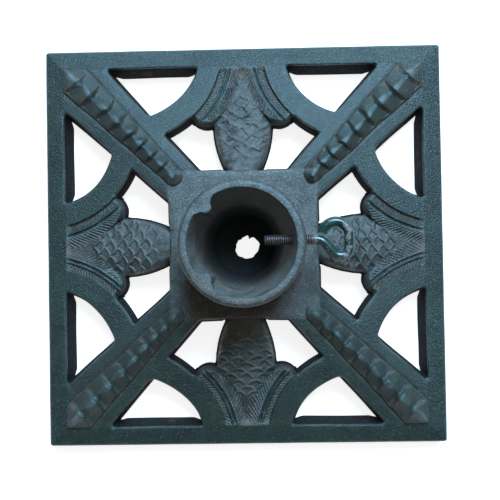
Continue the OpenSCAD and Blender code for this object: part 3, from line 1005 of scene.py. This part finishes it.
def bare_thread():
    """Bare brown steel, brighter on the thread's crests and dark in its roots."""
    s = Shader("bare_thread")
    grain, patch = s.noise(0.6, 3), s.noise(2.6, 3)
    steel = s.mix(s.ramp(patch, 0.35, 0.65), STEEL_DARK, STEEL_LIGHT)
    color = s.mix(s.attribute("wear"), STEEL_ROOT, steel)
    color = s.mix(s.ramp(grain, 0.55, 0.75, 0, 0.5), color, STEEL_RUST)
    s.link(color, s.surface.inputs["Base Color"])
    s.surface.inputs["Metallic"].default_value = 0.65
    s.link(s.ramp(grain, 0.3, 0.7, 0.3, 0.5), s.surface.inputs["Roughness"])
    s.link(s.relief(grain, 0.05, 0.5), s.surface.inputs["Normal"])
    return s.material


# ---------------------------------------------------------------- the casting's sections
def build_casting():
    """The casting's sections around the socket, each one a piece of its own."""
    # near black painted shade on the walls and undersides
    walls = wall_painted_shade()
    plain = painted_iron("painted_casting", dusty=0.45, worn=0.5, gritty=0.1)
    rails = painted_iron("painted_rails", dusty=0.45, worn=0.4, gritty=0.1, shine=0.7)
    ridged = painted_iron("painted_ridges", dusty=0.6, worn=0.9, rusty=0.2, gritty=0.0)
    ornament = painted_iron("painted_ornament", dusty=0.85, worn=1.0, rusty=0.35, gritty=0.35)
    hub_material = painted_iron("painted_hub", dusty=1.0, worn=0.7, rusty=0.8, gritty=0.6)

    def make(name, octants, label, closed_x, closed_diagonal, material):
        chosen = RIDGED if label is None else SECTION == label
        mesh = section_mesh(name, octants, chosen, closed_x, closed_diagonal, label is None, label == HUB)
        finish_piece(name + "_cast", mesh, "base", [name], (material, walls))

    for k, side in enumerate(SIDES):
        after, before = SIDES[(k + 1) % 4], SIDES[(k - 1) % 4]
        both = [(k, False), (k, True)]
        across = [(k, False), ((k + 1) % 4, True)]
        make("rail_" + side, both, RAIL, False, True, rails)
        make("cone_" + side, both, CONE, False, True, ornament)
        make(f"spoke_{side}_{after}", across, SPOKE, True, False, plain)
        make(f"bead_ridge_{side}_{after}", across, None, True, False, ridged)
        for key, other in (((k, False), after), ((k, True), before)):
            make(f"arch_{side}_{other}", [key], ARCH, True, True, plain)
            make(f"leaf_{side}_{other}", [key], LEAF, True, True, ornament)
    make("hub_plate", list(OCTANTS), HUB, False, False, hub_material)


# ---------------------------------------------------------------- the socket
RIM_R = 36.5
RIM_EDGE_R = 2.2    # rounding of the rim's outer edge
LIP_R = 0.9         # and of its inner edge
RIM_CROWN = 0.25    # rise of the rim's middle
MOUTH_R = 31.0      # inner radius at the rim
WELL_R = 20.0       # inner radius at the foot of the tapering wall
WELL_CORNER_R = 6.0
FLOOR_T = 5.0
WELL_LOW = FLOOR_T + WELL_CORNER_R
FOOT_R = 25.0       # radius of the socket's foot under the base
SIDE_LEAN = 0.007   # how much the outside widens downwards, per millimetre
FILLET_AT, FILLET_H = 0.3, 1.6      # the fillet between the socket and the hub plate
DRAIN_R, DRAIN_AT = 7.95, (1.6, -1.2)
DRAIN_SHARE = 0.93                  # the ragged hole's mean radius, as a share of the bore's
BURR_AT, BURR_WIDTH, BURR_H = 1.05, 0.16, 1.9  # a burr and a dent in its edge, placed by radians
DENT_AT, DENT_WIDTH, DENT_H = 5.3, 0.5, 0.25
RIB_ANGLES = (135, 225)
NOSE_AT, NOSE_R = 25.0, 3.4         # a rib's rounded nose
RIB_ROOT_W, RIB_FLARE = 16.0, 3.2
DUSTY_AT = 255                      # direction of the rim's dustiest stretch, in degrees
HOLE_GAP = 0.06                     # clearance around the screw
AROUND = 432                        # points in each ring of the mesh


def wall_radius(z):
    """Inner radius of the socket's tapering wall at height z."""
    return WELL_R + (MOUTH_R - WELL_R) * (z - WELL_LOW) / (RIM_Z - WELL_LOW)


def rib_radius(angle):
    """Distance of the pole ribs' faces from the axis, by direction."""
    nearest = np.full_like(angle, MOUTH_R + 2)
    middle = NOSE_AT + NOSE_R
    side = np.arcsin(NOSE_R / middle)
    root = np.arctan(RIB_ROOT_W / 2 / MOUTH_R) * 1.15
    for centre in RIB_ANGLES:
        off = np.abs(angle_from(np.radians(centre), angle))
        nose = middle * np.cos(off) - np.sqrt(np.maximum(NOSE_R ** 2 - (middle * np.sin(off)) ** 2, 0))
        face = np.where(off < side, nose, middle + RIB_FLARE * smooth(side, root, off))
        nearest = np.where(off < root, np.minimum(nearest, face), nearest)
    return nearest


def drain_radius(angle):
    """Distance of the drain hole's ragged edge from the axis, by direction."""
    waviness = 0.3 * np.sin(2 * angle + 0.6) + 0.28 * np.sin(5 * angle + 1.1) + 0.16 * np.sin(11 * angle)
    burr = BURR_H * np.exp(-(angle_from(BURR_AT, angle) / BURR_WIDTH) ** 2)
    dent = DENT_H * np.exp(-(angle_from(DENT_AT, angle) / DENT_WIDTH) ** 2)
    off_centre = DRAIN_AT[0] * np.cos(angle) + DRAIN_AT[1] * np.sin(angle)
    return DRAIN_SHARE * DRAIN_R + waviness - burr - dent + off_centre


def socket_rows(angle):
    """Rings of the socket from the drain hole up and round, as (radius, height, shade, wear, dust).

    Each entry is a number or an array by direction."""
    drain, ribs = drain_radius(angle), rib_radius(angle)
    # painted shade: the drain, the floor and the well's corner are fully shaded
    rows = [(drain + 0.3, 0.0, 1, 0, 0), (drain, 0.4, 1, 0, 0), (drain, FLOOR_T - 0.6, 1, 0, 0)]
    rows.append((drain + 0.5, FLOOR_T - 0.05, 1, 0, 0.2))
    for share in (0.35, 0.7, 1.0):
        radius = drain + 0.5 + (WELL_R - WELL_CORNER_R - drain - 0.5) * share
        rows.append((radius, FLOOR_T + 0.12 * np.sin(3 * angle + 5 * share), 1, 0, 0.3))
    for a in np.radians(np.arange(15, 91, 15)):
        radius = WELL_R - WELL_CORNER_R * (1 - np.sin(a))
        rows.append((radius, FLOOR_T + WELL_CORNER_R * (1 - np.cos(a)), 1, 0, 0.2))
    for z in np.linspace(WELL_LOW, RIM_Z - LIP_R, 40)[1:]:
        # painted shade deepening down the inside; wear and dust lighten the mouth, partly standing in for
        # the light falling in
        mouth = smooth(WELL_LOW + 8, RIM_Z - 14, z)
        rows.append((np.minimum(wall_radius(z), ribs), z, 1 - mouth, 0.8 * mouth, 0.85 * mouth))

    inner = np.minimum(wall_radius(RIM_Z), ribs)
    # painted shade: a dark line along the inner lip
    for a in np.radians((30, 60, 90)):
        lip = LIP_R * (1 - np.sin(a))
        rows.append((inner + LIP_R * (1 - np.cos(a)), RIM_Z - lip, 0.9 * np.cos(a) ** 2, 0.9, 0))
    start, outer = inner + LIP_R, RIM_R - RIM_EDGE_R
    dusty = smooth(-0.1, 0.9, np.cos(angle - np.radians(DUSTY_AT)))
    for share in (0.2, 0.45, 0.7, 1.0):
        z = RIM_Z - RIM_CROWN * (1 - np.sin(np.pi * share))
        rows.append((start + (outer - start) * share, z, 0, 0.85 - 0.35 * dusty, 0.45 + 0.55 * dusty))
    # painted shade on the rim's rounded outer edge
    for a in np.radians((30, 60, 90)):
        z = RIM_Z - RIM_CROWN - RIM_EDGE_R * (1 - np.cos(a))
        rows.append((outer + RIM_EDGE_R * np.sin(a), z, 0.55, 0.1, 0))

    # painted shade down the outside, with dust near its foot
    for z in np.linspace(RIM_Z - 3, HUB_Z + 3, 12):
        rows.append((RIM_R + SIDE_LEAN * (RIM_Z - z), z, 0.15, 0, 0.6 * smooth(HUB_Z + 14, HUB_Z + 3, z)))
    # painted shadow in the fillet at the hub plate, and painted shade under the plate and on the foot
    fillet = SEAT_R - RIM_R - FILLET_AT
    for a in np.radians((0, 30, 60, 90)):
        radius = RIM_R + FILLET_AT + fillet * (1 - np.cos(a))
        rows.append((radius, HUB_Z + FILLET_H * (1 - np.sin(a)), 0.9, 0, 0.2))
    under = HUB_LOW[2] - 2
    for radius, z in ((SEAT_R, HUB_LOW[2]), (SEAT_R, under), ((SEAT_R + FOOT_R) / 2, under / 2 + 0.5)):
        rows.append((radius, z, 0.9, 0, 0))
    return rows + [(FOOT_R, 1.0, 1, 0, 0), (FOOT_R - 1, 0.0, 1, 0, 0)]


def lathe(name, rows, count):
    """A closed mesh of revolution from the rows of socket_rows, the last joined back to the first."""
    angle = around(count)
    points, values = [], {"wear": [], "dust": [], "shade": []}
    level = np.zeros_like(angle)
    for radius, z, *marks in rows:
        points.append(np.column_stack([radius * np.cos(angle), radius * np.sin(angle), level + z]))
        for key, value in zip(("shade", "wear", "dust"), marks):
            values[key].append(level + value)
    faces = []
    for i in range(len(rows)):
        faces += band(i, (i + 1) % len(rows), count)[:, ::-1].tolist()
    return welded_mesh(name, points, faces, values)


def cut_round_hole(piece, centre, radius, length):
    """Cuts a hole along X through a piece's mesh."""
    cutter_mesh = bpy.data.meshes.new("cutter")
    bm = bmesh.new()
    place = Matrix.Translation(Vector(centre) * MM) @ Euler((0, np.pi / 2, 0)).to_matrix().to_4x4()
    bmesh.ops.create_cone(bm, cap_ends=True, segments=48, radius1=radius * MM, radius2=radius * MM,
                          depth=length * MM, matrix=place)
    bm.to_mesh(cutter_mesh)
    bm.free()
    cutter = add_object("cutter", cutter_mesh)
    modifier = piece.modifiers.new("hole", "BOOLEAN")
    modifier.object, modifier.solver = cutter, "EXACT"
    graph = bpy.context.evaluated_depsgraph_get()
    cut = bpy.data.meshes.new_from_object(piece.evaluated_get(graph))
    piece.modifiers.clear()
    old = piece.data
    piece.data = cut
    bpy.data.objects.remove(cutter)
    bpy.data.meshes.remove(old)


def build_socket():
    """The socket cup with its two ribs, its drain hole and the hole for the screw."""
    mesh = lathe("socket_cup", socket_rows(around(AROUND)), AROUND)
    material = painted_iron("painted_socket", dusty=0.95, worn=0.8, rusty=0.6, shade_darkness=0.97, gritty=0.8)
    piece = finish_piece("socket_with_ribs", mesh, "base",
                         ["socket_cup", "pole_rib_back", "pole_rib_front"], [material])
    cut_round_hole(piece, (RIM_R - 3, SCREW_AXIS[1], SCREW_AXIS[2]), THREAD_R + HOLE_GAP, 16)


# ---------------------------------------------------------------- the eye screw
THREAD_PITCH, THREAD_DEPTH = 1.27, 0.7
CREST_SLOPE, CREST_FLAT = 3.4, 1.35  # shape of the thread's crests
TIP_CHAMFER, TIP_DROP = 1.2, 0.2
RUN_OUT = 2.0                        # length over which the thread fades into the rod
THREAD_SIDES, ROD_SIDES = 40, 28
ROD_R = 3.0
EYE_BIG, EYE_BIG_R = (54, 2.4), 7.8  # the two bends of the eye, from above
EYE_SMALL, EYE_SMALL_R = (56.8, -4.8), 5.0
NECK_R, RUN_DEG, END_DEG = 9, 52, 172  # the bend after the thread, its turn, and the eye's last direction
# Size, place ahead, rust and wear of the last rings, at the eye's cut end
CUT_END = ((0.97, 0, 0.2, 0.8), (0.9, 0.14, 0, 0), (0.5, 0.1, 1, 0))


def tube_faces(rings, count):
    """Faces of a tube of rings with flat ends, whose points follow ring by ring."""
    faces = []
    for i in range(rings - 1):
        faces += band(i, i + 1, count).tolist()
    faces.append(list(range(count))[::-1])
    faces.append(list(range((rings - 1) * count, rings * count)))
    return faces


def build_thread():
    """A right-hand thread along X, chamfered at its tip and fading out at its other end."""
    angle = around(THREAD_SIDES)
    stations = np.arange(THREAD_LOW[0], THREAD_HIGH[0] + 0.01, THREAD_PITCH / 10)
    stations[-1] = THREAD_HIGH[0]
    points, wear = [], []
    for x in stations:
        from_tip = x - THREAD_LOW[0]
        phase = (from_tip / THREAD_PITCH - angle / (2 * np.pi)) % 1
        crest = np.clip(CREST_FLAT - np.abs(phase - 0.5) * CREST_SLOPE, 0, 1)
        short = 1 - np.minimum(from_tip / TIP_CHAMFER, 1)
        cut = np.maximum(THREAD_DEPTH * (1 - crest), (THREAD_DEPTH + TIP_DROP) * short)
        radius = THREAD_R - cut
        radius = radius + (ROD_R - radius) * (1 - smooth(THREAD_HIGH[0], THREAD_HIGH[0] - RUN_OUT, x))
        y, z = SCREW_AXIS[1] + radius * np.cos(angle), SCREW_AXIS[2] + radius * np.sin(angle)
        points.append(np.column_stack([np.full(THREAD_SIDES, x), y, z]))
        # wear here is the crest share: bare_thread colours the thread bright on its crests and dark in its
        # roots by it
        wear.append(crest * 0.9 + 0.1)
    none = [w * 0 for w in wear]
    values = {"wear": wear, "dust": none, "shade": none}
    mesh = welded_mesh("screw_thread", points, tube_faces(len(stations), THREAD_SIDES), values)
    finish_piece("thread_of_eye_screw", mesh, "screw_shank",
                 ["screw_thread"], [bare_thread()], crease_deg=60)


def build_eye():
    """The rod bent into an open eye, with its cut end rounded off and rusty."""
    neck_x = THREAD_HIGH[0]
    path = np.array([[neck_x, 0], [neck_x + 0.5, 0]])
    for centre, radius, start, end in (((neck_x + 1, -NECK_R), NECK_R, 90, 90 - RUN_DEG),
                                       (EYE_SMALL, EYE_SMALL_R, -90 - RUN_DEG, 0),
                                       (EYE_BIG, EYE_BIG_R, 0, END_DEG)):
        path = np.vstack([path, arc(centre, radius, np.radians(start), np.radians(end), 0.5)])
    path = resample(path, 0.45)
    for _ in range(6):
        path[1:-1] = path[1:-1] * 0.5 + (path[:-2] + path[2:]) * 0.25
    angle = around(ROD_SIDES)
    heading = np.gradient(path, axis=0)
    heading /= np.hypot(*heading.T)[:, None]
    across = np.column_stack([-heading[:, 1], heading[:, 0]])
    last = len(path) - 1
    rings = [(i, 1, 0, 0, 0) for i in range(last)] + [(last, *ring) for ring in CUT_END]
    points, wear, dust = [], [], []
    for i, size, ahead, rust, worn in rings:
        side, up = ROD_R * size * np.cos(angle), ROD_R * size * np.sin(angle)
        flat = path[i] + heading[i] * ahead + across[i] * side[:, None]
        points.append(np.column_stack([flat[:, 0], SCREW_AXIS[1] + flat[:, 1], SCREW_AXIS[2] + up]))
        run = i / last
        crest = np.maximum(np.cos(angle - np.pi / 2 - 0.35 * np.sin(9 * run)), 0) ** 3
        rubbed = 0.3 + 0.5 * smooth(0.2, 0.4, run) * (1 - smooth(0.66, 0.86, run))
        wear.append(crest * rubbed + 0.9 * smooth(0.06, 0.0, run) + worn)
        dust.append(np.full(ROD_SIDES, rust + 0.7 * smooth(0.05, 0.0, run)))
    values = {"wear": wear, "dust": [np.clip(d, 0, 1) for d in dust], "shade": [d * 0 for d in dust]}
    mesh = welded_mesh("screw_eye", points, tube_faces(len(rings), ROD_SIDES)[::-1], values)
    mesh.flip_normals()
    finish_piece("eye_of_eye_screw", mesh, "screw_handle",
                 ["screw_eye"], [painted_rod()], crease_deg=50)


# ---------------------------------------------------------------- camera, light and floor
LENS_MM, SENSOR_MM = 55.92, 36
CAMERA_AT = (0.0129, -0.0118, 0.5114)  # fitted to the photo's corners, openings and rim
CAMERA_TILT_DEG = (0.986, 1.109, -0.937)
FLOOR_HALF, FLOOR_Z, FLOOR_GLOW = 3.0, -0.0004, 0.84
FLOOR_COLOR = (0.86, 0.86, 0.86, 1)
SKY_COLOR, SKY_STRENGTH = (1.0, 0.98, 0.93, 1), 0.11


def softbox(name, place, size, watts, color):
    """A square area light that faces the stand."""
    light = bpy.data.lights.new(name, "AREA")
    light.shape, light.size, light.energy, light.color = "SQUARE", size, watts, color
    lamp = add_object(name, light)
    lamp.location = place
    lamp.rotation_euler = (-Vector(place)).to_track_quat("-Z", "Y").to_euler()


def build_stage():
    """Camera, floor, sky and two soft lights, in metres."""
    scene = bpy.context.scene
    scene.view_settings.view_transform = "Standard"
    camera_data = bpy.data.cameras.new("camera")
    camera_data.lens, camera_data.sensor_width = LENS_MM, SENSOR_MM
    camera_data.clip_start = 0.01
    camera = add_object("camera", camera_data)
    camera.location = CAMERA_AT
    camera.rotation_euler = Euler([np.radians(a) for a in CAMERA_TILT_DEG])
    scene.camera = camera

    floor_mesh = bpy.data.meshes.new("floor")
    corners = [(x * FLOOR_HALF, y * FLOOR_HALF, FLOOR_Z) for x, y in ((-1, -1), (1, -1), (1, 1), (-1, 1))]
    floor_mesh.from_pydata(corners, [], [(0, 1, 2, 3)])
    paper = bpy.data.materials.new("floor_paper")
    paper.use_nodes = True
    surface = paper.node_tree.nodes["Principled BSDF"]
    surface.inputs["Base Color"].default_value = FLOOR_COLOR
    surface.inputs["Roughness"].default_value = 0.9
    surface.inputs["Emission Color"].default_value = (1, 1, 1, 1)
    surface.inputs["Emission Strength"].default_value = FLOOR_GLOW
    floor_mesh.materials.append(paper)
    floor = add_object("floor", floor_mesh)

    world = bpy.data.worlds.new("world")
    world.use_nodes = True
    sky = world.node_tree.nodes["Background"]
    sky.inputs["Color"].default_value = SKY_COLOR
    sky.inputs["Strength"].default_value = SKY_STRENGTH
    scene.world = world
    softbox("key", (0.27, 0.96, 1.20), 0.8, 46, (0.37, 0.69, 1.0))
    softbox("overhead", (0.35, 0.45, 1.5), 0.5, 1.6, (1.0, 0.96, 0.9))


build_casting()
build_socket()
build_thread()
build_eye()
build_stage()
